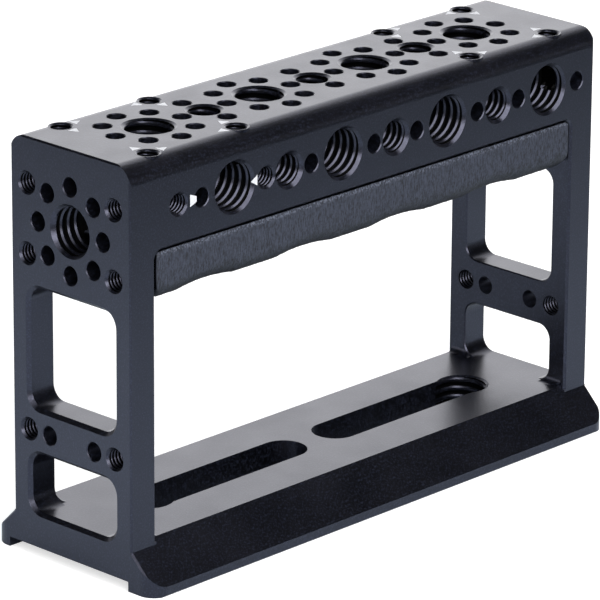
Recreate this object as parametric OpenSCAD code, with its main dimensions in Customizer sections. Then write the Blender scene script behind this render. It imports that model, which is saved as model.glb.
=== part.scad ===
/* [Body] */
// Overall length of the frame, end face to end face
body_l = 111.7; // [106:0.1:140]
// Width of the top bar and of both posts
body_w = 27.6; // [26:0.2:34]
// Overall height, foot to top face
body_h = 72.2; // [66:0.2:100]
// Thickness of each end post
post_t = 5.65; // [4.6:0.05:6.5]
// Height of the top bar
bar_h = 15.3; // [15:0.1:20]
// Radius along the long top edges
top_edge_r = 3.3; // [0.5:0.1:3.4]
// Chamfer on the upright and upper edges of the end faces
end_edge_c = 0.3; // [0.2:0.1:1]

/* [Foot] */
// Width across the dovetail foot
foot_w = 38; // [34:0.5:44]
// Height of the square lip below the 45 degree flare
lip_h = 1.7; // [1:0.1:3]
// Chamfer under the lip
lip_c = 0.25; // [0.1:0.05:0.8]
// Radius of the foot's corners, seen from above
foot_corner_r = 3.3; // [1:0.1:4.5]
// Height of the base's upper face
base_h = 7.85; // [7.3:0.05:12]
// Depth of the recess between the two foot rails
recess_h = 1.7; // [0.6:0.1:2.5]
// Distance from the middle line to the front rail
recess_front = 13; // [9:0.5:15]
// Distance from the middle line to the back rail
recess_back = 15; // [9:0.5:15.5]

/* [Base slots] */
// Width of each slot, which passes a 3/8 screw's waist
slot_w = 8.1; // [6.5:0.1:8.4]
// Web left between the two slots
slot_web = 4.5; // [3:0.1:12]
// Distance of each threaded entry from the middle
slot_entry_x = 38.8; // [24:0.1:40]

/* [Openings] */
// Upper corner radius of the hand window
window_top_r = 1.5; // [1:0.1:4]
// Lower corner radius of the hand window
window_low_r = 1.2; // [0.5:0.1:2]
// Width of the windows in the posts
end_window_w = 19.8; // [12:0.2:21]
// Corner radius of the windows in the posts
end_window_r = 2.6; // [1:0.1:4]
// Distance from the top face to the upper post window
end_window_drop = 25.4; // [24:0.1:30]
// Height of the line of holes on each post's cross-bar
cross_bar_z = 22.1; // [16:0.1:26]
// Height of each post's cross-bar
cross_bar_h = 8; // [6:0.1:10]
// Chamfer round the hand window
window_c = 0.4; // [0.1:0.05:0.8]
// Chamfer round the windows in the posts, on the end faces
end_window_c = 0.65; // [0.1:0.05:0.8]
// Chamfer round the same windows, on the posts' inner faces
inner_window_c = 0.2; // [0.1:0.05:0.8]

/* [Tapped holes] */
// Spacing of the large threads, and of the small threads between them
pitch = 25.4; // [24:0.1:28]
// Large thread, 3/8-16: major diameter
large_d = 9.525; // [8:0.005:9.6]
// Small thread, 1/4-20: major diameter
small_d = 6.35; // [4:0.05:7]
// Accessory thread, M4: major diameter
m4_d = 4; // [3:0.5:4]
// Depth of the large threads in the top face
top_large_depth = 11; // [6:0.1:12]
// Depth of the large threads in the front and back faces
side_large_depth = 8.5; // [4:0.1:8.5]
// Depth of the large thread in each end face
end_large_depth = 5.8; // [4:0.1:5.9]
// Depth of the small threads
small_depth = 8; // [4:0.1:8]
// Depth of the M4 threads in the top face
top_m4_depth = 4; // [3:0.1:4.2]
// Depth of the M4 threads in the front and back faces
side_m4_depth = 5.4; // [3:0.1:5.4]
// Depth of the upper two M4 threads in each end face
end_m4_depth = 8.6; // [4:0.1:8.6]
// Chamfer at the mouth of every hole
mouth_c = 0.15; // [0.05:0.05:0.3]

/* [Pin holes] */
// Diameter of the plain holes for locating pins
pin_d = 3.2; // [2:0.1:3.4]
// Diameter of the ring of pin holes round a large thread
pin_circle = 15; // [14:0.1:16]
// Depth of the pin holes in the top face
top_pin_depth = 3.2; // [1.5:0.1:3.2]
// Depth of the pin holes in the other faces
side_pin_depth = 4.4; // [1.5:0.1:4.4]
// Distance of the outer pins from a small thread
small_pin_r = 5.2; // [5:0.1:6]

/* [Hole rows] */
// Side of the square of M4 holes on the top face
m4_square = 20; // [18:0.5:21]
// Height of the rectangle of M4 holes on the end faces
end_m4_h = 12; // [11:0.5:13]
// Distance of the end face's large thread below the top
end_drop = 13.8; // [13.6:0.1:14.5]
// Distance of the front and back rows below the top
side_drop = 8.5; // [8.5:0.1:10]
// Shift of the front row from the top row
side_shift = 5.82; // [5:0.01:6.5]

/* [Grip] */
// Depth of the grip below the bar
grip_h = 8.7; // [7:0.1:12]
// Radius along the grip's lower edges
grip_r = 3.2; // [1:0.1:5]
// Gap between each end of the grip and its post
grip_gap = 0.3; // [0.05:0.05:0.5]
// Number of finger scallops
scallops = 4; // [1:1:5]
// Spacing of the scallops
scallop_pitch = 22.8; // [16:0.1:26]
// Depth of each scallop
scallop_depth = 0.6; // [0.2:0.1:2]
// Length of each scallop along the grip
scallop_l = 13.4; // [8:0.1:22]
// Distance of the middle of the scallops from the middle of the grip
scallop_shift = -1.8; // [-4:0.1:4]

/* [Grip screws] */
// Distance of each screw from the middle of the grip
screw_x = 25.4; // [12:0.1:40]
// Thread diameter of the grip screws
screw_d = 4; // [3:0.5:5]
// Head diameter of the grip screws
screw_head_d = 8; // [6:0.1:9.5]
// Depth of the screw heads below the grip's underside
screw_sink = 1.5; // [0.5:0.1:3]
// How far the screws reach into the bar
screw_grip = 4.5; // [3:0.1:5]
// Play of the screws in their holes
screw_play = 0.05; // [0.02:0.01:0.2]

/* [Hidden] */
$fn = 96;

half_l = body_l / 2;
half_w = body_w / 2;
shoulder_z = lip_h + (foot_w - body_w) / 2;
bar_z = body_h - bar_h;
window_l = body_l - 2 * post_t;
end_z = body_h - end_drop;
side_z = body_h - side_drop;
over = 2;                              // how far a cutter runs past a face
tip_slope = tan(31);                   // drill point of 118 degrees
large_sites = [for (i = [-1.5:1:1.5]) i * pitch];
small_sites = [for (i = [-1:1]) i * pitch];
m4_sites = [large_sites[0], large_sites[3]];

// Flat shapes ---------------------------------------------------------------

module round_rect(w, h, r) {
    square([w - 2 * r, h], center = true);
    square([w, h - 2 * r], center = true);
    for (x = [-1, 1], y = [-1, 1])
        translate([x * (w / 2 - r), y * (h / 2 - r)]) circle(r);
}

// A rectangle that stands on y = 0, with its own upper and lower radii
module standing_rect(w, h, low_r, top_r) {
    translate([0, h / 4]) square([w - 2 * low_r, h / 2], center = true);
    translate([0, h * 3 / 4 - over / 2])
        square([w - 2 * top_r, h / 2 + over], center = true);
    translate([0, (h + low_r - top_r) / 2])
        square([w, h - low_r - top_r], center = true);
    for (x = [-1, 1]) {
        translate([x * (w / 2 - low_r), low_r]) circle(low_r);
        translate([x * (w / 2 - top_r), h - top_r]) circle(top_r);
    }
}

// End view of the frame: rounded top, upright sides, 45 degree flare, lip
module frame_profile() {
    translate([0, (body_h + lip_h) / 2])
        square([body_w - 2 * top_edge_r, body_h - lip_h], center = true);
    translate([0, (body_h - top_edge_r + lip_h) / 2])
        square([body_w, body_h - top_edge_r - lip_h], center = true);
    for (y = [-1, 1])
        translate([y * (half_w - top_edge_r), body_h - top_edge_r]) circle(top_edge_r);
    polygon([
        [-foot_w / 2 + lip_c, 0], [foot_w / 2 - lip_c, 0],
        [foot_w / 2, lip_c], [foot_w / 2, lip_h],
        [half_w, shoulder_z], [-half_w, shoulder_z],
        [-foot_w / 2, lip_h], [-foot_w / 2, lip_c]
    ]);
}

module chamfered_rect(w, h, c) {
    polygon([
        [-w / 2 + c, -h / 2], [w / 2 - c, -h / 2], [w / 2, -h / 2 + c], [w / 2, h / 2 - c],
        [w / 2 - c, h / 2], [-w / 2 + c, h / 2], [-w / 2, h / 2 - c], [-w / 2, -h / 2 + c]
    ]);
}

// Placing -------------------------------------------------------------------

// Stands a flat shape up and runs it along X, centred
module along_x(l) {
    rotate([90, 0, 90]) linear_extrude(l, center = true) children();
}

// Stands a flat shape up and runs it along Y, centred
module along_y(l) {
    rotate([90, 0, 0]) linear_extrude(l, center = true) children();
}

// What is cut into the front is cut into the back, half a turn round
module both_sides() {
    for (a = [0, 180]) rotate([0, 0, a]) children();
}

module on_top(x, y) { translate([x, y, body_h]) children(); }

module on_front(x) { translate([x, -half_w, side_z]) rotate([90, 0, 0]) children(); }

module on_end(y, z) { translate([half_l, y, z]) rotate([0, 90, 0]) children(); }

// Cutters -------------------------------------------------------------------

// A drilled hole with its mouth at the origin, running down along Z
module hole(d, depth, tip = false) {
    r = d / 2;
    rotate_extrude() polygon([
        [0, over], [r + mouth_c, over], [r + mouth_c, 0], [r, -mouth_c],
        [r, -depth], [0, -depth - (tip ? r * tip_slope : 0)]
    ]);
}

// The flared mouth of a rounded window, level with z = 0 and opening upwards
module window_mouth(w, h, r, c) {
    module flared_strip(across, along) {
        rotate([90, 0, 0]) linear_extrude(along, center = true) polygon([
            [-across / 2, -c], [across / 2, -c], [across / 2 + c, 0], [across / 2 + c, over],
            [-across / 2 - c, over], [-across / 2 - c, 0]
        ]);
    }
    flared_strip(w, h - 2 * r);
    rotate([0, 0, 90]) flared_strip(h, w - 2 * r);
    for (x = [-1, 1], y = [-1, 1]) translate([x * (w / 2 - r), y * (h / 2 - r), 0]) {
        translate([0, 0, -c]) cylinder(c, r, r + c);
        cylinder(over, r = r + c);
    }
}

// Opening for the hand, with the base's flare carried up to its upper face
module hand_window() {
    h = bar_z - base_h;
    ramp = max(0.01, base_h - shoulder_z);
    translate([0, 0, base_h])
        along_y(foot_w + over) standing_rect(window_l, h, window_low_r, window_top_r);
    for (side = [-1, 1]) {
        // the mouth's chamfer runs down the posts until it meets the flare
        intersection() {
            translate([0, side * half_w, base_h]) rotate([-side * 90, 0, 0])
                window_mouth(window_l, 2 * h, window_top_r, window_c);
            translate([0, 0, shoulder_z + window_c + body_h / 2])
                cube([body_l, foot_w, body_h], center = true);
        }
        along_x(window_l) polygon([
            [side * (half_w - ramp), base_h], [side * half_w, base_h - ramp],
            [side * (half_w + over), base_h - ramp], [side * (half_w + over), base_h + over],
            [side * (half_w - ramp), base_h + over]
        ]);
    }
}

// One window through both posts, from z = low to z = high
module end_window(low, high) {
    h = high - low;
    translate([0, 0, low + h / 2]) {
        along_x(body_l + over) round_rect(end_window_w, h, end_window_r);
        both_sides() translate([half_l, 0, 0]) rotate([90, 0, 90])
            window_mouth(end_window_w, h, end_window_r, end_window_c);
    }
    // the inner mouths stop at the base, which runs on level with the lower sill
    intersection() {
        both_sides() translate([window_l / 2, 0, low + h / 2]) rotate([90, 0, -90])
            window_mouth(end_window_w, h, end_window_r, inner_window_c);
        translate([0, 0, base_h + body_h / 2]) cube([body_l, body_w, body_h], center = true);
    }
}

// Chamfer along the ends of both flares
module flare_ends() {
    flare = (foot_w - body_w) / sqrt(2);
    for (side = [0, 1], end = [0, 1])
        mirror([0, side, 0]) mirror([end, 0, 0]) translate([half_l, half_w, shoulder_z])
            rotate([225, 0, 0]) linear_extrude(flare) polygon([
                [-end_edge_c - over, -over], [over, -over], [over, end_edge_c + over]
            ]);
}

module base_slots() {
    inner_x = (slot_web + slot_w) / 2;
    for (side = [-1, 1]) {
        translate([side * (inner_x + slot_entry_x) / 2, 0, base_h / 2])
            cube([slot_entry_x - inner_x, slot_w, base_h + over], center = true);
        translate([side * inner_x, 0, -over / 2]) cylinder(base_h + over, d = slot_w);
        translate([side * slot_entry_x, 0, base_h]) hole(large_d, base_h + over);
    }
}

module foot_recess() {
    translate([-half_l - over, -recess_front, -over])
        cube([body_l + 2 * over, recess_front + recess_back, recess_h + over]);
}

module pin_ring(depth) {
    for (a = [0:45:315]) rotate([0, 0, a]) translate([pin_circle / 2, 0, 0])
        hole(pin_d, depth);
}

// Four large threads in rings of pins, three small threads, two squares of M4
module top_holes() {
    for (x = large_sites) on_top(x, 0) {
        hole(large_d, top_large_depth, true);
        pin_ring(top_pin_depth);
    }
    for (x = small_sites) {
        on_top(x, 0) hole(small_d, small_depth, true);
        for (y = [-1, 1]) on_top(x, y * small_pin_r) hole(pin_d, top_pin_depth);
    }
    for (x = m4_sites, i = [-1, 1], j = [-1, 1])
        on_top(x + i * m4_square / 2, j * m4_square / 2) hole(m4_d, top_m4_depth, true);
}

// One row: two M4, four large threads with their pins, three small threads
module front_holes() {
    first_m4 = large_sites[0] - pitch / 2;
    translate([side_shift, 0, 0]) {
        for (x = large_sites) on_front(x) hole(large_d, side_large_depth, true);
        for (x = small_sites) on_front(x) hole(small_d, small_depth, true);
        for (x = large_sites, side = [-1, 1])
            if (x > large_sites[0] || side < 0)
                on_front(x + side * pin_circle / 2) hole(pin_d, side_pin_depth);
        for (x = [first_m4, first_m4 + m4_square]) on_front(x) hole(m4_d, side_m4_depth);
    }
}

// One large thread in its ring, four M4, and the holes through the cross-bar
module end_holes() {
    on_end(0, end_z) {
        hole(large_d, end_large_depth, true);
        pin_ring(side_pin_depth);
    }
    for (y = [-1, 1]) {
        on_end(y * m4_square / 2, end_z + end_m4_h / 2) hole(m4_d, end_m4_depth);
        on_end(y * m4_square / 2, end_z - end_m4_h / 2) hole(m4_d, post_t + over);
        on_end(y * m4_square / 2, cross_bar_z) hole(m4_d, post_t + over);
        on_end(y * small_pin_r, cross_bar_z) hole(pin_d, post_t + over);
    }
}

// Pieces --------------------------------------------------------------------

// One-piece frame, milled from a solid block
module cage_frame() {
    color("#2f323b") difference() {
        intersection() {
            along_x(body_l) frame_profile();
            union() {
                linear_extrude(shoulder_z) round_rect(body_l, foot_w, foot_corner_r);
                translate([0, 0, shoulder_z - 0.01]) linear_extrude(body_h)
                    chamfered_rect(body_l, body_w, end_edge_c);
            }
            along_y(foot_w) chamfered_rect(body_l, 2 * body_h, end_edge_c);
        }
        hand_window();
        end_window(cross_bar_z + cross_bar_h / 2, body_h - end_window_drop);
        end_window(base_h, cross_bar_z - cross_bar_h / 2);
        base_slots();
        foot_recess();
        flare_ends();
        top_holes();
        both_sides() {
            front_holes();
            end_holes();
        }
        for (x = [-screw_x, screw_x]) translate([x, 0, bar_z - over])
            cylinder(screw_grip + over + 0.3, d = screw_d + 2 * screw_play);
    }
}

// End view of the grip: square above, rounded below
module grip_profile() {
    translate([0, grip_h / 2 + over]) round_rect(body_w, grip_h + 2 * over, grip_r);
}

// Carries the grip's rounded edges up through one finger scallop
module scallop_cutter() {
    reach = scallop_l / 2;
    r = (reach * reach + scallop_depth * scallop_depth) / (2 * scallop_depth);
    translate([0, 0, scallop_depth - r]) rotate([90, 0, 0])
        rotate_extrude($fn = 360) difference() {
            translate([0, -half_w - over]) square([r + grip_r + 0.01, body_w + 2 * over]);
            translate([r, 0]) rotate([0, 0, -90]) grip_profile();
        }
}

// Moulded grip that fills the top of the hand window
module grip() {
    low = bar_z - grip_h;
    l = window_l - 2 * grip_gap;
    first = scallop_shift - (scallops - 1) / 2 * scallop_pitch;
    color("#3a3d47") translate([0, 0, low]) difference() {
        intersection() {
            along_x(l) grip_profile();
            along_y(body_w + over) standing_rect(l, grip_h, grip_r, window_top_r - grip_gap);
        }
        for (i = [0:scallops - 1]) translate([first + i * scallop_pitch, 0, 0])
            scallop_cutter();
        for (x = [-screw_x, screw_x]) translate([x, 0, 0]) screw_seat();
    }
}

// Countersunk hole through the grip, from its underside
module screw_seat() {
    cone_h = (screw_head_d - screw_d) / 2;
    r = screw_d / 2 + screw_play;
    translate([0, 0, -over]) cylinder(screw_sink + over, d = screw_head_d + 2 * screw_play);
    translate([0, 0, screw_sink]) cylinder(cone_h, d1 = screw_head_d + 2 * screw_play, r2 = r);
    cylinder(grip_h + over, r = r);
}

// Countersunk socket screws that hold the grip to the bar
module grip_screws() {
    cone_h = (screw_head_d - screw_d) / 2;
    length = grip_h - screw_sink + screw_grip;
    for (x = [-screw_x, screw_x])
        color("#1c1d21") translate([x, 0, bar_z - grip_h + screw_sink]) difference() {
            union() {
                cylinder(cone_h, d1 = screw_head_d, d2 = screw_d);
                cylinder(length, d = screw_d);
            }
            translate([0, 0, -over]) cylinder(cone_h + over, d = 0.7 * screw_d, $fn = 6);
        }
}

cage_frame();
grip();
grip_screws();
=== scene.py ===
import math

import bmesh
import bpy
from mathutils import Matrix, Vector, noise


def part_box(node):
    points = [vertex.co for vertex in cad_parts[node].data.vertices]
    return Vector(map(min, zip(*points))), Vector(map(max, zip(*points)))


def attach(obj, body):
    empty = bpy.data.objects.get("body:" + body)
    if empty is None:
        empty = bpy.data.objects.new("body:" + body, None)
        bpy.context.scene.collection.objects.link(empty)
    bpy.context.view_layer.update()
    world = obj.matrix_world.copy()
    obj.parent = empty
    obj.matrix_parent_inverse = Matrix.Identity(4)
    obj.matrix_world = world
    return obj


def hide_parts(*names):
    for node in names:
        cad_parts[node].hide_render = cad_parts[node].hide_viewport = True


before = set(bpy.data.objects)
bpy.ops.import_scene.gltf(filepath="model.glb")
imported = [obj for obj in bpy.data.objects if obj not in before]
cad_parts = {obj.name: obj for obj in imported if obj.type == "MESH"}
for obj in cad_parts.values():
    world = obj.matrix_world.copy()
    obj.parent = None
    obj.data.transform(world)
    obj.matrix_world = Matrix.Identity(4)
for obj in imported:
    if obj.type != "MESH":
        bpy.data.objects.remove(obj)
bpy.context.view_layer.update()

# ---------------------------------------------------------------------------
# Frame. One piece, milled from a block of 6061 aluminium, beaded with fine
# glass and anodised black. It carries every thread and pin hole itself.
# ---------------------------------------------------------------------------
MM = 0.001               # sizes are in millimetres, and the scene is in metres
BEAD_GRAIN = 0.30        # glass bead marks, drawn three times as coarse as real so that they show
BEAD_DEPTH = 0.03
DYE_DRIFT = 9.0          # size of the faint cloudiness that the dye bath leaves
FRAME_BLACK = "#030304"
FRAME_GLINT = "#262a38"  # the rims of the bead marks, which scatter a little light
GLINT_SHARE = 0.8        # how far the brightest rims go towards that colour
OXIDE_TINT = "#dfe1ff"   # the dye lends the oxide's reflection a trace of blue
OXIDE_IOR = 1.7
SATIN_LOW, SATIN_HIGH = 0.28, 0.34      # roughness of the oxide, which drifts with the dye
# the sockets of a Mix node by number, as several of them share a name
SHARE, NUMBER_A, NUMBER_B, COLOUR_A, COLOUR_B = 0, 2, 3, 6, 7
MIXED_NUMBER, MIXED_COLOUR = 0, 2


def dye(code):
    """A hex colour in sRGB as the linear colour that a shader takes."""
    parts = [int(code[i:i + 2], 16) / 255 for i in (1, 3, 5)]
    return [c / 12.92 if c <= 0.04045 else ((c + 0.055) / 1.055) ** 2.4 for c in parts] + [1]


def add(tree, kind, values=None, links=None, **settings):
    """Adds one shader node, with its settings, socket values and links."""
    made = tree.nodes.new("ShaderNode" + kind)
    for name, value in settings.items():
        setattr(made, name, value)
    for socket, value in (values or {}).items():
        made.inputs[socket].default_value = value
    for socket, source in (links or {}).items():
        tree.links.new(source, made.inputs[socket])
    return made


def new_finish(name):
    """An empty material, and the coordinates on the piece in millimetres."""
    finish = bpy.data.materials.new(name)
    finish.use_nodes = True
    finish.node_tree.nodes.clear()
    place = add(finish.node_tree, "TexCoord")
    in_mm = add(finish.node_tree, "Mapping", {"Scale": (1 / MM,) * 3},
                {"Vector": place.outputs["Object"]})
    return finish, finish.node_tree, in_mm.outputs["Vector"]


# Black anodised 6061: a clear hard oxide over dyed metal. The eye gets almost
# all of its light from the oxide's own satin reflection, and a faint grain.
def black_anodised():
    finish, tree, mm = new_finish("black_anodised_aluminium")
    grain = add(tree, "TexNoise", {"Scale": 1 / BEAD_GRAIN, "Detail": 1.0, "Roughness": 0.5},
                {"Vector": mm})
    drift = add(tree, "TexNoise", {"Scale": 1 / DYE_DRIFT, "Detail": 2.0}, {"Vector": mm})
    rims = add(tree, "MapRange", {"From Min": 0.5, "From Max": 0.75, "To Max": GLINT_SHARE},
               {"Value": grain.outputs["Fac"]})
    shade = add(tree, "Mix", {COLOUR_A: dye(FRAME_BLACK), COLOUR_B: dye(FRAME_GLINT)},
                {SHARE: rims.outputs["Result"]}, data_type="RGBA")
    satin = add(tree, "MapRange",
                {"From Min": 0.3, "From Max": 0.7, "To Min": SATIN_LOW, "To Max": SATIN_HIGH},
                {"Value": drift.outputs["Fac"]})
    beads = add(tree, "Bump", {"Strength": 0.4, "Distance": BEAD_DEPTH * MM},
                {"Height": grain.outputs["Fac"]})
    skin = add(tree, "BsdfPrincipled", {"IOR": OXIDE_IOR, "Specular Tint": dye(OXIDE_TINT)},
               {"Base Color": shade.outputs[MIXED_COLOUR], "Roughness": satin.outputs["Result"],
                "Normal": beads.outputs["Normal"]})
    add(tree, "OutputMaterial", links={"Surface": skin.outputs["BSDF"]})
    return finish


def finish_node(name, finish):
    """Puts a finish on a node of the CAD model."""
    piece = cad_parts[name]
    for place in piece.material_slots:
        place.link = "OBJECT"
        place.material = finish


ANODISED = black_anodised()
finish_node("cage_frame", ANODISED)

# ---------------------------------------------------------------------------
# Tapped walls. The threads that a tap cuts into the bores of the frame:
# 3/8-16, 1/4-20 and M4 x 0.7. Each is a helical ridge with a 60 degree form.
# ---------------------------------------------------------------------------
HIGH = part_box("cage_frame")[1]
END_X, TOP_Z = HIGH.x / MM, HIGH.z / MM
UP = (0, 0, 1)
SIDE_Y = 13.8                       # half the width of the bar
PITCH_X = 25.4                      # between the large threads, and between the small ones
LARGE_X = [(i - 1.5) * PITCH_X for i in range(4)]
SMALL_X = [(i - 1) * PITCH_X for i in range(3)]
SIDE_SHIFT, SIDE_DROP = 5.82, 8.5   # of the rows on the front and back, from those of the top
END_DROP, CROSS_Z = 13.8, 22.1      # the end threads below the top, the cross-bar holes
ROW_Z, END_Z = TOP_Z - SIDE_DROP, TOP_Z - END_DROP
BASE_Z, RECESS_Z = 7.85, 1.7        # the base's upper face, and the recess under it
M4_SQUARE, M4_RISE = 20.0, 12.0     # width of an accessory pattern, and height of an end's
M4_HALF = M4_SQUARE / 2
ROW_M4_X = [LARGE_X[0] - PITCH_X / 2 + SIDE_SHIFT + i * M4_SQUARE for i in range(2)]
POST_T = 5.65                       # thickness of a post
MOUTH_C = 0.15                      # chamfer of a drilled hole
SLOT_W, SLOT_ENTRY_X = 8.1, 38.8    # width of a slot of the base, and the middle of its entry
# d across the roots, radius of the countersunk mouth, height of the drill's tip by its radius
LARGE = dict(d=9.525, lead=1.5875, mouth=4.6, tip=0.6, steps=48)
SMALL = dict(d=6.35, lead=1.27, mouth=3.27, tip=0.6, steps=36)
M4 = dict(d=4.0, lead=0.7, mouth=2.05, tip=0.0, steps=28)
TOP_LARGE_DEPTH, TOP_SMALL_DEPTH, TOP_M4_DEPTH = 11, 8, 4       # of the tapped walls in the top
ROW_LARGE_DEPTH, ROW_SMALL_DEPTH, ROW_M4_DEPTH = 8.5, 8, 5.4    # in the front and back
END_LARGE_DEPTH = 5.8
TOP_M4_REACH, END_M4_REACH = 5.7, 8.6   # how deep the accessory holes are drilled
STOP_SHORT = 0.3                    # what an end's M4 wall leaves free before the hole that it meets
BREAK_IN = END_X - (LARGE_X[3] + SIDE_SHIFT) - LARGE["d"] / 2 - STOP_SHORT
THREAD_SHARE = 0.48                 # height of a ridge as a share of the lead
ROOT_SHARE = 0.125                  # its flat root, likewise
BEVEL_SHARE = 0.16                  # the bevels along its crest, as wide as they are high
FLANK_SLOPE = math.radians(60)
CREST_FACES = 3                     # a bevel, the flat crest and a bevel, which the beads soften; these keep the plain finish, the rest of the ridge takes the flanks' painted shade
SPARE_TURNS = 2                     # of the helix past the ends of a wall, which flatten them
ROW_TURN, END_TURN = 0.40, -0.23    # where the threads of the rows and the ends start, in leads
MOUTH_SLOPE, TOP_SLOPE = 0.85, 1.8  # of the countersunk mouths, radius lost by depth
SINK_SHARE = 0.70                   # the thread is missing over this share of a mouth's depth
RIM_POINTS = 5                      # of a column past its thread: the cone, the lip and the back
SKIN = 0.02                         # how far the tapped wall stands clear of the drilled one
LIP = 0.004                         # how far its lip stands over the face
ROOTED = 0.2                        # how far its back is sunk in the metal
SHARP = math.radians(14)            # edges that turn by more than this stay crisp
SAME_POINT, NO_LENGTH = 0.0005, 0.0002
# the flanks' darker copy of the finish: painted shade in the thread grooves
FLANK_DARK, FLANK_PALE = "#010101", "#030304"
FLANK_GLOSS = 0.04
BLASTED, FLANK_SHADE_SLOT = 0, 1                # the places of the two finishes on a piece with threads: the plain anodised one, and the painted shade of the flanks, roots and floors


# Thread flanks, roots and drill floors: a darker copy of the anodised finish with almost
# no reflection, painted shade in the grooves, which leaves the crests as thin bright lines.
def shaded_thread_flank():
    finish, tree, mm = new_finish("painted_shade_thread_flank")
    torn = add(tree, "TexNoise", {"Scale": 1 / BEAD_GRAIN, "Detail": 2.0}, {"Vector": mm})
    shade = add(tree, "Mix", {COLOUR_A: dye(FLANK_DARK), COLOUR_B: dye(FLANK_PALE)},
                {SHARE: torn.outputs["Fac"]}, data_type="RGBA")
    skin = add(tree, "BsdfPrincipled",
               {"IOR": OXIDE_IOR, "Specular IOR Level": FLANK_GLOSS, "Roughness": 0.5},
               {"Base Color": shade.outputs[MIXED_COLOUR]})
    add(tree, "OutputMaterial", links={"Surface": skin.outputs["BSDF"]})
    return finish


FLANK = shaded_thread_flank()


def ridge_corners():
    """Corners of the ridge along one lead: the place of each, and its height, both in leads."""
    flank = THREAD_SHARE - BEVEL_SHARE
    foot = flank / math.tan(FLANK_SLOPE)
    flat = 1 - ROOT_SHARE - 2 * (BEVEL_SHARE + foot)
    widths = (0, BEVEL_SHARE, flat, BEVEL_SHARE, foot, ROOT_SHARE)
    heights = (flank, THREAD_SHARE, THREAD_SHARE, flank, 0.0, 0.0)
    return [(sum(widths[:k + 1]), heights[k]) for k in range(len(widths))]


CORNERS = ridge_corners()


def ridge_height(place):
    """Height of the ridge at any place along the lead, in leads."""
    corners = CORNERS + [(1.0, CORNERS[0][1])]
    for (a, ha), (b, hb) in zip(corners, corners[1:]):
        if a <= place <= b:
            return ha + (hb - ha) * (place - a) / (b - a)
    return 0.0


def beside_slot(r, angle, major, arc):
    """A radius of the wall, where the slot cuts away one side of a threaded entry."""
    if arc is None or abs(angle) <= math.pi / 2:
        return r
    return min(major, max(r, SLOT_W / 2 / abs(math.sin(angle))))


def in_m4_hole(point):
    """Whether a point lies in the hole of an accessory thread of the top or of an end."""
    x, y, z = abs(point.x), abs(point.y), point.z
    r = M4["d"] / 2
    from_top = z > TOP_Z - TOP_M4_REACH and any(
        math.dist((x, y), (LARGE_X[3] + i * M4_HALF, M4_HALF)) < r for i in (-1, 1))
    from_end = x > END_X - END_M4_REACH and math.dist((y, z), (M4_HALF, END_Z + M4_RISE / 2)) < r
    return from_top or from_end


def wall_column(size, depth, angle, start_turn, arc, cup, slope):
    """Points of a tapped wall at one angle: radius, height, and whether it keeps the plain finish
    rather than the painted shade.
    """
    lead, drilled = size["lead"], size["d"] / 2
    major = drilled - SKIN
    crest = major - THREAD_SHARE * lead
    cone = SINK_SHARE * (size["mouth"] - crest) / slope     # how deep the thread is missing
    rows = (math.ceil(depth / lead) + SPARE_TURNS) * len(CORNERS)
    column = []
    for j in range(-SPARE_TURNS * len(CORNERS), rows):
        turns, k = divmod(j, len(CORNERS))
        z = (turns + CORNERS[k][0] + start_turn + angle / math.tau) * lead - depth
        z = min(max(z, -depth), -cone)
        rise = ridge_height(((z + depth) / lead - start_turn - angle / math.tau) % 1.0)
        ridge, mouth = major - rise * lead, size["mouth"] + z * slope
        r = beside_slot(max(ridge, mouth), angle, major, arc)
        column.append((r, z, mouth >= ridge or k < CREST_FACES))
    return column + [
        (beside_slot(size["mouth"] - cone * slope, angle, major, arc), -cone, False),
        (beside_slot(size["mouth"], angle, major, arc), LIP, True),
        (drilled + MOUTH_C + SKIN, LIP, True),
        (drilled + ROOTED, -SKIN - ROOTED, True),
        (drilled + ROOTED, -depth - (ROOTED if cup else 0), False)]


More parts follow.
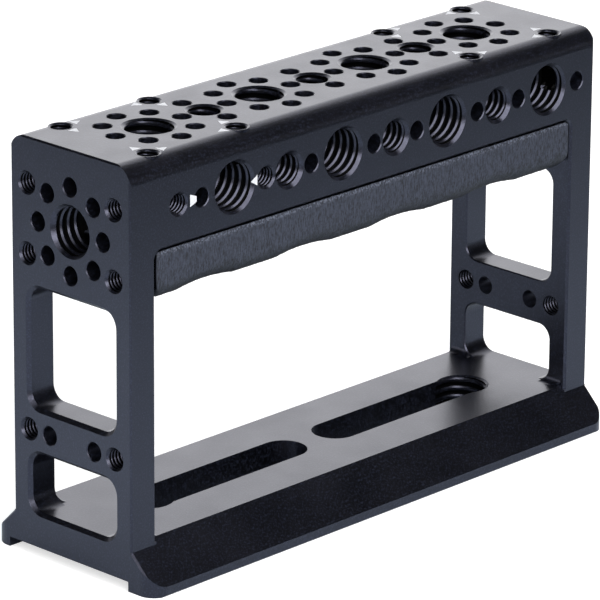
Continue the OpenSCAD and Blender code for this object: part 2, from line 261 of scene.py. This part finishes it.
def tapped_wall(mesh, at, out, size, depth, start_turn=0.0, arc=None, open_end=False, cup=True,
                slope=MOUTH_SLOPE):
    """One tapped wall, with its mouth at a point and its axis out of the face."""
    at, z_axis, whole = Vector(at), Vector(out), arc is None
    cup = cup and whole and not open_end
    depth = depth - (SKIN if open_end else 0)
    x_axis = Vector((1, 0, 0) if z_axis.z else UP)
    turn = Matrix((x_axis, z_axis.cross(x_axis), z_axis)).transposed()
    columns = size["steps"] if whole else size["steps"] + 1
    start, sweep = (0.0, math.tau) if whole else (-arc, 2 * arc)
    grid, unshaded_points = [], set()
    for i in range(columns):
        angle = start + sweep * i / size["steps"]
        round_it = Vector((math.cos(angle), math.sin(angle), 0))
        points = wall_column(size, depth, angle, start_turn, arc, cup, slope)
        grid.append([])
        for n, (r, z, unshaded) in enumerate(points):
            point = at + turn @ (round_it * r + Vector((0, 0, z)))
            # an accessory hole that runs into this one has taken the ridge away, and its place gets the
            # painted shade
            if n < len(points) - RIM_POINTS and size is LARGE and in_m4_hole(point):
                unshaded, point = False, point + turn @ (round_it * (size["d"] / 2 - SKIN - r))
            grid[-1].append(mesh.verts.new(point * MM))
            if unshaded:
                unshaded_points.add(grid[-1][-1])
    last = len(grid[0]) - RIM_POINTS - 1
    if cup:                     # the floor that the drill left, and its back in the metal
        floor_z = SKIN - depth - size["tip"] * (size["mouth"] - SKIN)
        under_z = -depth - 2 * ROOTED - size["tip"] * (size["d"] / 2 + ROOTED)
        floor, under = (mesh.verts.new((at + z_axis * z) * MM) for z in (floor_z, under_z))
    for i in range(columns if whole else columns - 1):
        here, there = grid[i], grid[(i + 1) % columns]
        # a whole turn further round, the helix has climbed by one lead
        climb = len(CORNERS) if whole and i == columns - 1 else 0
        for j in range(last):
            low, high = (min(max(n - climb, 0), last) for n in (j, j + 1))
            corners = list(dict.fromkeys((here[j + 1], here[j], there[low], there[high])))
            if len(corners) > 2:
                face = mesh.faces.new(corners)
                # a face keeps the plain finish only if its points do; the rest get the painted shade
                face.material_index = BLASTED if {here[j], there[low]} <= unshaded_points else FLANK_SHADE_SLOT
        for j in range(last, last + RIM_POINTS):
            face = mesh.faces.new((here[j + 1], here[j], there[j], there[j + 1]))
            # the band where the thread ends takes the painted shade, the cone, lip and back the plain
            # finish
            face.material_index = FLANK_SHADE_SLOT if j == last else BLASTED
        if cup:
            # the drill's floor takes the painted shade
            mesh.faces.new((here[0], floor, there[0])).material_index = FLANK_SHADE_SLOT
            mesh.faces.new((under, here[-1], there[-1]))
        else:
            mesh.faces.new((here[0], here[-1], there[-1], there[0]))
    if not whole:
        mesh.faces.new(grid[0])
        mesh.faces.new(list(reversed(grid[-1])))


def mesh_data(mesh, name):
    """The finished mesh of a working one, which is let go."""
    data = bpy.data.meshes.new(name)
    mesh.to_mesh(data)
    mesh.free()
    return data


def in_scene(name, data):
    """An object of its own for a mesh, a lamp or a camera."""
    made = bpy.data.objects.new(name, data)
    bpy.context.scene.collection.objects.link(made)
    return made


def shown(mesh, name, *finishes):
    """Makes a piece of a mesh that is in metres, and lets it ride on the frame."""
    bmesh.ops.remove_doubles(mesh, verts=mesh.verts, dist=SAME_POINT * MM)
    bmesh.ops.dissolve_degenerate(mesh, edges=mesh.edges, dist=NO_LENGTH * MM)
    bmesh.ops.recalc_face_normals(mesh, faces=mesh.faces)
    data = mesh_data(mesh, name)
    for finish in finishes:
        data.materials.append(finish)
    data.shade_smooth()
    data.set_sharp_from_angle(angle=SHARP)
    piece = in_scene(name, data)
    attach(piece, "root")
    return piece


def on_side(side, x):
    """A place in the row of the front, or half a turn round in that of the back."""
    return side * x, -side * SIDE_Y, ROW_Z


def slot_entry(mesh, side):
    """A slot's threaded entry, which keeps its thread only where the slot doesn't pass."""
    turned = bmesh.new()
    tapped_wall(turned, (0, 0, BASE_Z), UP, LARGE, BASE_Z - RECESS_Z,
                arc=math.pi - math.asin(SLOT_W / LARGE["d"]), open_end=True, slope=TOP_SLOPE)
    facing = Matrix.Rotation(0 if side > 0 else math.pi, 4, "Z")
    turned.transform(Matrix.Translation((side * SLOT_ENTRY_X * MM, 0, 0)) @ facing)
    entry = mesh_data(turned, "entry")
    mesh.from_mesh(entry)
    bpy.data.meshes.remove(entry)


# the accessory squares around the first and the last large thread of the top
TOP_CORNERS = [(x, i, j) for x in (LARGE_X[0], LARGE_X[3]) for i in (-1, 1) for j in (-1, 1)]

large, small, m4 = bmesh.new(), bmesh.new(), bmesh.new()
for x in LARGE_X:
    tapped_wall(large, (x, 0, TOP_Z), UP, LARGE, TOP_LARGE_DEPTH, slope=TOP_SLOPE)
for x in SMALL_X:
    tapped_wall(small, (x, 0, TOP_Z), UP, SMALL, TOP_SMALL_DEPTH, slope=TOP_SLOPE)
for x, i, j in TOP_CORNERS:
    place = (x + i * M4_HALF, j * M4_HALF, TOP_Z)
    tapped_wall(m4, place, UP, M4, TOP_M4_DEPTH, slope=TOP_SLOPE)
for side in (1, -1):                # the front, then the back, half a turn round
    out = (0, -side, 0)
    for x in LARGE_X:
        tapped_wall(large, on_side(side, x + SIDE_SHIFT), out, LARGE, ROW_LARGE_DEPTH, ROW_TURN)
    for x in SMALL_X:
        tapped_wall(small, on_side(side, x + SIDE_SHIFT), out, SMALL, ROW_SMALL_DEPTH, ROW_TURN)
    for x in ROW_M4_X:
        tapped_wall(m4, on_side(side, x), out, M4, ROW_M4_DEPTH, ROW_TURN)
    out, end_x = (side, 0, 0), side * END_X
    tapped_wall(large, (end_x, 0, END_Z), out, LARGE, END_LARGE_DEPTH, END_TURN)
    for y in (-M4_HALF, M4_HALF):
        meets_row = y * side < 0
        tapped_wall(m4, (end_x, y, END_Z + M4_RISE / 2), out, M4,
                    BREAK_IN if meets_row else END_M4_REACH, cup=not meets_row)
        for z in (END_Z - M4_RISE / 2, CROSS_Z):
            tapped_wall(m4, (end_x, y, z), out, M4, POST_T, open_end=True)
    slot_entry(large, side)
for mesh, name in ((large, "large_threads"), (small, "small_threads"), (m4, "m4_threads")):
    shown(mesh, name, ANODISED, FLANK)

# ---------------------------------------------------------------------------
# Pointer marks. Small triangles that a laser burns pale through the dye, at
# the accessory threads, to show which of them belong together.
# ---------------------------------------------------------------------------
POINTER = dict(base=2.55, long=1.7, half=0.95)      # its base from the thread's axis, and its size
POINTER_CUT = dict(base=2.55, long=2.65, half=1.06, cut=1.2)    # ends short at the next hole
POINTER_NEAR = dict(base=2.1, long=1.5, half=0.9)   # starts at the edge of its thread
MARK_LIFT = 0.006                   # over the face, so that it shows
MARK_SUNK = 0.03                    # in the metal
LASER_GREY, LASER_WHITE = "#c3c5cc", "#eceef2"
LASER_LINE = 0.12                   # width of the laser's passes


def laser_pale():
    """Oxide bleached by a laser: flat, chalky, near white."""
    finish, tree, mm = new_finish("laser_marked_oxide")
    lines = add(tree, "TexNoise", {"Scale": 1 / LASER_LINE, "Detail": 1.0}, {"Vector": mm})
    pale = add(tree, "Mix", {COLOUR_A: dye(LASER_GREY), COLOUR_B: dye(LASER_WHITE)},
               {SHARE: lines.outputs["Fac"]}, data_type="RGBA")
    skin = add(tree, "BsdfPrincipled", {"IOR": 1.5, "Roughness": 0.6},
               {"Base Color": pale.outputs[MIXED_COLOUR]})
    add(tree, "OutputMaterial", links={"Surface": skin.outputs["BSDF"]})
    return finish


def mark(mesh, corners, out):
    """A flat mark of three or more corners, let into the face."""
    out = Vector(out)
    top = [mesh.verts.new((Vector(p) + out * MARK_LIFT) * MM) for p in corners]
    low = [mesh.verts.new((Vector(p) - out * MARK_SUNK) * MM) for p in corners]
    mesh.faces.new(top)
    mesh.faces.new(list(reversed(low)))
    for i in range(len(top)):
        k = (i + 1) % len(top)
        mesh.faces.new((top[k], top[i], low[i], low[k]))


def pointer(at, away, out, base, long, half, cut=0.0):
    """Corners of a pointer beside a thread, whose tip may be cut short."""
    at, away = Vector(at), Vector(away)
    across = Vector(out).cross(away) * half
    corners = [at + away * base + across, at + away * base - across]
    tip = at + away * (base + long - cut)
    if not cut:
        return corners + [tip]
    return corners + [tip - across * cut / long, tip + across * cut / long]


marks = bmesh.new()
for x, i, j in TOP_CORNERS:
    place = (x + i * M4_HALF, j * M4_HALF, TOP_Z)
    for away in ((-i, 0, 0), (0, -j, 0)):           # along both sides of the square
        mark(marks, pointer(place, away, UP, **POINTER), UP)
for side in (1, -1):
    out = (0, -side, 0)
    for i, x, shape in zip((1, -1), ROW_M4_X, (POINTER_CUT, POINTER_NEAR)):
        mark(marks, pointer(on_side(side, x), (side * i, 0, 0), out, **shape), out)
shown(marks, "pointer_marks", laser_pale())

# ---------------------------------------------------------------------------
# Grip. A moulded rubber pad that fills the top of the hand window, with four
# shallow finger scallops. It stands a little off the bar and posts at its rim.
# ---------------------------------------------------------------------------
GRIP_LOW, GRIP_HIGH = (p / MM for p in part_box("grip"))
PAD_VOXEL = 0.40                    # between the points of the worked skin
WELD = 0.001
PAD_GAP, GAP_WAVER = 0.12, 0.3      # the shadow line between the rim and the bar, and its variation
RIM_W, RIM_FADE, RIM_H = 1.2, 2.6, 1.5  # the lowered rim, where it has faded out, and its height
SCALLOP_MOVE = 1.4                  # the scallops of the skin sit this much to the left
SCALLOP_LOW, SCALLOP_HIGH = 1, 4    # moved in full below the one height and not at all over the other
END_HOLD = 6                        # the move dies out over this length at the ends
TEAR, TEAR_W, TEAR_L = 0.07, 0.8, 2.2   # depth of a tear, and the width and length of its waves
TEAR_MEAN = 0.5                     # keeps nearly all of the tearing inwards
GRIP_DARK, GRIP_PALE, GRIP_FUZZ = "#101219", "#3c4150", "#5f6472"
STREAK_W, STREAK_L = 0.23, 1.2      # the upright marks, drawn a little wider than real
FUZZ_GRAIN, FUZZ_SHARE = 0.35, 0.3  # of the torn skin along the edges, and its share of the grain
STREAK_CUT_RISE, STREAK_CUT_LOW, STREAK_CUT_HIGH = 5.0, 0.42, 0.34   # the cut for a pale streak: at the underside, and above this height; darker towards the bottom
TORN_FULL = 0.62
FRAY_LOW, FRAY_HIGH = 1.1, 0.6      # the frayed rim, from the pad's top
UNDERSIDE_SHADE, GAP_SHADE = 0.3, 0.02  # what the painted shade leaves of the colour on the underside, and in the gap
RUBBER_GLOSS = 0.5
RIB_DEPTH = 0.12


def smooth(low, high, value):
    """A soft step from 0 to 1."""
    t = min(max((value - low) / (high - low), 0.0), 1.0)
    return t * t * (3 - 2 * t)


# Moulded rubber: matt, soft to the eye, with torn upright streaks that catch
# the light along one side, a fuzz of paler specks on its rim, and painted shade on its underside and in
# the gap.
def moulded_rubber():
    finish, tree, mm = new_finish("moulded_black_rubber")
    along = add(tree, "Mapping", {"Scale": (1 / STREAK_W, 1 / STREAK_W, 1 / STREAK_L)}, {"Vector": mm})
    streaks = add(tree, "TexNoise", {"Scale": 1.0, "Detail": 2.0, "Roughness": 0.6, "Distortion": 0.5},
                  {"Vector": along.outputs["Vector"]})
    fuzz = add(tree, "TexNoise", {"Scale": 1 / FUZZ_GRAIN, "Detail": 2.0}, {"Vector": mm})
    grain = add(tree, "Mix", {SHARE: FUZZ_SHARE},
                {NUMBER_A: streaks.outputs["Fac"], NUMBER_B: fuzz.outputs["Fac"]}, data_type="FLOAT")
    place = add(tree, "SeparateXYZ", links={"Vector": mm})
    # fewer pale streaks show towards the underside, so the pad is darker towards the bottom
    streak_cut = add(tree, "MapRange", {"From Min": GRIP_LOW.z, "From Max": GRIP_LOW.z + STREAK_CUT_RISE,
                                  "To Min": STREAK_CUT_LOW, "To Max": STREAK_CUT_HIGH},
               {"Value": place.outputs["Z"]})
    torn = add(tree, "MapRange", {"From Max": TORN_FULL},
               {"Value": grain.outputs[MIXED_NUMBER], "From Min": streak_cut.outputs["Result"]})
    shade = add(tree, "Mix", {COLOUR_A: dye(GRIP_DARK), COLOUR_B: dye(GRIP_PALE)},
                {SHARE: torn.outputs["Result"]}, data_type="RGBA")
    rim = add(tree, "MapRange",
              {"From Min": GRIP_HIGH.z - FRAY_LOW, "From Max": GRIP_HIGH.z - FRAY_HIGH},
              {"Value": place.outputs["Z"]})
    specks = add(tree, "MapRange", {"From Min": 0.48, "From Max": 0.62}, {"Value": fuzz.outputs["Fac"]})
    frayed = add(tree, "Math", links={0: rim.outputs["Result"], 1: specks.outputs["Result"]},
                 operation="MULTIPLY")
    with_rim = add(tree, "Mix", {COLOUR_B: dye(GRIP_FUZZ)},
                   {SHARE: frayed.outputs[0], COLOUR_A: shade.outputs[MIXED_COLOUR]},
                   data_type="RGBA")
    facing = add(tree, "NewGeometry")
    down = add(tree, "SeparateXYZ", links={"Vector": facing.outputs["Normal"]})
    # painted shade: the colour darkens where the skin faces down
    under = add(tree, "MapRange", {"From Min": -0.8, "From Max": 0.0, "To Min": UNDERSIDE_SHADE},
                {"Value": down.outputs["Z"]})
    # painted shade: the upper face and the ends lie in the gap, and their colour and gloss are taken
    # nearly to black
    sideways = add(tree, "Math", links={0: down.outputs["X"]}, operation="ABSOLUTE")
    into_gap = add(tree, "Math", links={0: down.outputs["Z"], 1: sideways.outputs[0]},
                   operation="MAXIMUM")
    gap_shade = add(tree, "MapRange",
                    {"From Min": 0.7, "From Max": 0.95, "To Min": 1.0, "To Max": GAP_SHADE},
                    {"Value": into_gap.outputs[0]})
    painted_shade = add(tree, "Math", links={0: under.outputs["Result"], 1: gap_shade.outputs["Result"]},
                operation="MULTIPLY")
    shaded_colour = add(tree, "VectorMath",
               links={0: with_rim.outputs[MIXED_COLOUR], "Scale": painted_shade.outputs[0]},
               operation="SCALE")
    # the gap's painted shade takes the gloss away too
    sheen = add(tree, "Math", {1: RUBBER_GLOSS}, {0: gap_shade.outputs["Result"]},
                operation="MULTIPLY")
    ribs = add(tree, "Bump", {"Strength": 0.6, "Distance": RIB_DEPTH * MM},
               {"Height": grain.outputs[MIXED_NUMBER]})
    skin = add(tree, "BsdfPrincipled", {"IOR": 1.5, "Roughness": 0.62},
               {"Base Color": shaded_colour.outputs[0], "Specular IOR Level": sheen.outputs[0],
                "Normal": ribs.outputs["Normal"]})
    add(tree, "OutputMaterial", links={"Surface": skin.outputs["BSDF"]})
    return finish


def pad_skin():
    """The pad with evenly spaced points, so that its rim, scallops and tears can be worked."""
    welded = bmesh.new()
    welded.from_mesh(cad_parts["grip"].data)
    bmesh.ops.remove_doubles(welded, verts=welded.verts, dist=WELD * MM)
    data = mesh_data(welded, "grip_pad")
    pad = in_scene("grip_pad", data)
    even = pad.modifiers.new("even", "REMESH")
    even.mode, even.voxel_size, even.use_smooth_shade = "VOXEL", PAD_VOXEL * MM, True
    seen = bpy.context.evaluated_depsgraph_get()
    skin = bpy.data.meshes.new_from_object(pad.evaluated_get(seen))
    pad.modifiers.clear()
    pad.data = skin
    bpy.data.meshes.remove(data)
    return pad


def work_skin(skin):
    """Lowers the rim, moves the scallops and tears the skin a little, nearly always inwards."""
    normals = [v.normal.copy() for v in skin.vertices]
    for v, normal in zip(skin.vertices, normals):
        x, y, z = v.co / MM
        from_side, from_end = GRIP_HIGH.y - abs(y), GRIP_HIGH.x - abs(x)
        ragged = noise.noise(Vector((x / TEAR_W, y / TEAR_W, 0)))
        rim = 1 - smooth(RIM_W, RIM_FADE, min(from_side, from_end))
        drop = PAD_GAP * (1 + GAP_WAVER * ragged) * rim * smooth(GRIP_HIGH.z - RIM_H, GRIP_HIGH.z, z)
        low = 1 - smooth(GRIP_LOW.z + SCALLOP_LOW, GRIP_LOW.z + SCALLOP_HIGH, z)
        left = SCALLOP_MOVE * low * smooth(0, END_HOLD, from_end)
        tear = noise.noise(Vector((x / TEAR_W, y / TEAR_W, z / TEAR_L)))
        v.co -= (normal * TEAR * (TEAR_MEAN + tear) + Vector((left, 0, drop))) * MM
    skin.update()


pad = pad_skin()
work_skin(pad.data)
pad.data.materials.clear()
pad.data.materials.append(moulded_rubber())
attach(pad, "root")
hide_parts("grip")

# ---------------------------------------------------------------------------
# Grip screws. Two countersunk M4 socket screws in alloy steel with a black
# oxide, which hold the grip up against the bar.
# ---------------------------------------------------------------------------
OXIDE_GREY = "#3a3b40"
OIL_DRIFT = 1.5                     # size of the patches that the oil leaves


# Black oxide on steel: a thin dark film that still shines like metal, duller in
# patches where the oil has dried.
def black_oxide():
    finish, tree, mm = new_finish("black_oxide_steel")
    oil = add(tree, "TexNoise", {"Scale": 1 / OIL_DRIFT, "Detail": 2.0}, {"Vector": mm})
    sheen = add(tree, "MapRange", {"To Min": 0.28, "To Max": 0.42}, {"Value": oil.outputs["Fac"]})
    skin = add(tree, "BsdfPrincipled", {"Metallic": 1.0, "Base Color": dye(OXIDE_GREY)},
               {"Roughness": sheen.outputs["Result"]})
    add(tree, "OutputMaterial", links={"Surface": skin.outputs["BSDF"]})
    return finish


finish_node("grip_screws", black_oxide())

# ---------------------------------------------------------------------------
# Table, light and camera. A white table in a dark room with one glowing wall
# behind it. The soft boxes are a strip high at the front left, a weaker one
# towards the left end, and a large one low behind.
# ---------------------------------------------------------------------------
TABLE_SIZE = 3.0         # metres
TABLE_CLEAR = 0.02       # keeps the board's face out of the foot's
TABLE_WHITE = "#dedede"
TABLE_LIFT = 0.6         # the board's own glow to the eye, which keeps it white
PAINTED_SHADE_TINT = "#e7f4ff"   # the board's painted shade in reflections is a little cool
# painted shade on the board, seen in reflections only: along which axis, from where to
# where, and the share of its white before and beyond
PAINTED_BOARD_SHADES = (("Y", -260.0, -50.0, 0.0, 1.0), ("X", -330.0, -140.0, 0.0, 1.0),
                ("X", -100.0, -50.0, 1.0, 0.8))
WALL_LOW, WALL_HIGH = 0.28, 0.46        # the wall's glow fades between these sines of the height
WALL_NEAR = 0.06         # what is left of it on the camera's side
HORIZON_GLOW, HORIZON_HIGH = 0.32, 0.26     # a dim glow all round, and where it ends
FILL = 0.3               # even light on all that isn't glossy


def plain_white_table():
    """A matt white board that keeps the shadows. In reflections only, parts of it get a painted shade
    with a cool tint.
    """
    finish, tree, mm = new_finish("plain_white_table")
    path = add(tree, "LightPath")
    place = add(tree, "SeparateXYZ", links={"Vector": mm})
    seen = None
    # painted shade for reflections only: the board's white falls off towards its front and left, and a
    # little on the right
    for axis, start, stop, before, beyond in PAINTED_BOARD_SHADES:
        part = add(tree, "MapRange",
                   {"From Min": start, "From Max": stop, "To Min": before, "To Max": beyond},
                   {"Value": place.outputs[axis]}, interpolation_type="SMOOTHSTEP")
        seen = part if seen is None else add(
            tree, "Math", links={0: seen.outputs[0], 1: part.outputs[0]}, operation="MULTIPLY")
    share = add(tree, "Mix", {NUMBER_A: 1.0},
                {SHARE: path.outputs["Is Glossy Ray"], NUMBER_B: seen.outputs[0]},
                data_type="FLOAT")
    # painted cool tint on the board as reflections show it
    cast = add(tree, "Mix", {COLOUR_A: dye(TABLE_WHITE), COLOUR_B: dye(PAINTED_SHADE_TINT)},
               {SHARE: path.outputs["Is Glossy Ray"]}, data_type="RGBA")
    white = add(tree, "VectorMath",
                links={0: cast.outputs[MIXED_COLOUR], "Scale": share.outputs[MIXED_NUMBER]},
                operation="SCALE")
    board = add(tree, "BsdfDiffuse", links={"Color": white.outputs[0]})
    lift = add(tree, "Math", {1: TABLE_LIFT}, {0: path.outputs["Is Camera Ray"]}, operation="MULTIPLY")
    glow = add(tree, "Emission", {"Color": (1, 1, 1, 1)}, {"Strength": lift.outputs[0]})
    top = add(tree, "AddShader", links={0: board.outputs[0], 1: glow.outputs[0]})
    add(tree, "OutputMaterial", links={"Surface": top.outputs[0]})
    return finish


board = bmesh.new()
bmesh.ops.create_grid(board, x_segments=2, y_segments=2, size=TABLE_SIZE / 2)
table = in_scene("table", mesh_data(board, "table"))
table.data.materials.append(plain_white_table())
table.location.z = -TABLE_CLEAR * MM


def dark_room():
    """A dark room with a glowing wall behind the table, which the camera sees as pure white."""
    room = bpy.data.worlds.new("room")
    room.use_nodes = True
    tree = room.node_tree
    tree.nodes.clear()
    ray = add(tree, "TexCoord")
    height = add(tree, "SeparateXYZ", links={"Vector": ray.outputs["Generated"]})
    wall = add(tree, "MapRange",
               {"From Min": WALL_LOW, "From Max": WALL_HIGH, "To Min": 1.0, "To Max": 0.0},
               {"Value": height.outputs["Z"]}, interpolation_type="SMOOTHSTEP")
    path = add(tree, "LightPath")
    front = add(tree, "MapRange", {"From Min": -0.45, "From Max": 0.15, "To Min": WALL_NEAR},
                {"Value": height.outputs["Y"]}, interpolation_type="SMOOTHSTEP")
    behind = add(tree, "Math", links={0: wall.outputs[0], 1: front.outputs[0]}, operation="MULTIPLY")
    low = add(tree, "MapRange", {"From Max": HORIZON_HIGH, "To Min": HORIZON_GLOW, "To Max": 0.0},
              {"Value": height.outputs["Z"]}, interpolation_type="SMOOTHSTEP")
    around = add(tree, "Math", links={0: behind.outputs[0], 1: low.outputs[0]}, operation="MAXIMUM")
    fill = add(tree, "Mix", {NUMBER_B: FILL},
               {SHARE: path.outputs["Is Diffuse Ray"], NUMBER_A: around.outputs[0]},
               data_type="FLOAT")
    glow = add(tree, "Math",
               links={0: fill.outputs[MIXED_NUMBER], 1: path.outputs["Is Camera Ray"]},
               operation="MAXIMUM")
    sky = add(tree, "Background", {"Color": (1, 1, 1, 1)}, {"Strength": glow.outputs[0]})
    add(tree, "OutputWorld", links={"Surface": sky.outputs[0]})
    return room


bpy.context.scene.world = dark_room()


def soft_box(name, towards, along, distance, wide, high, power):
    """A soft box that looks at the middle of the object, with its width along a direction."""
    lamp = bpy.data.lights.new(name, "AREA")
    lamp.shape, lamp.size, lamp.size_y, lamp.energy = "RECTANGLE", wide, high, power
    box = in_scene(name, lamp)
    aim = Vector(towards).normalized()
    box.location = aim * distance + Vector((0, 0, TOP_Z * MM / 2))
    across = aim.cross(Vector(along)).normalized()
    box.rotation_euler = Matrix((across.cross(aim), across, aim)).transposed().to_euler()


# metres and watts
soft_box("key_strip", towards=(-0.32, -0.71, 0.62), along=(0.80, 0.18, 0.57),
         distance=0.9, wide=1.40, high=0.48, power=11.0)
soft_box("end_strip", towards=(-0.73, -0.38, 0.56), along=(0.0, 0.60, 0.80),
         distance=0.9, wide=0.75, high=0.25, power=1.1)
soft_box("back_box", towards=(0.68, 0.62, 0.44), along=(-0.67, 0.74, 0.0),
         distance=1.3, wide=1.5, high=1.05, power=7.1)

CAMERA_PLACE = (-0.59678, -0.57006, 0.32179)    # metres
CAMERA_TURN = (70.715, -0.3772, -46.0572)       # degrees
SENSOR_W, FOCAL = 36, 310.56
lens = bpy.data.cameras.new("camera")
lens.sensor_width, lens.lens = SENSOR_W, FOCAL
lens.clip_start, lens.clip_end = 0.05, 20
camera = in_scene("camera", lens)
camera.location = CAMERA_PLACE
camera.rotation_euler = [math.radians(a) for a in CAMERA_TURN]
bpy.context.scene.camera = camera
bpy.context.scene.view_settings.view_transform = "Standard"
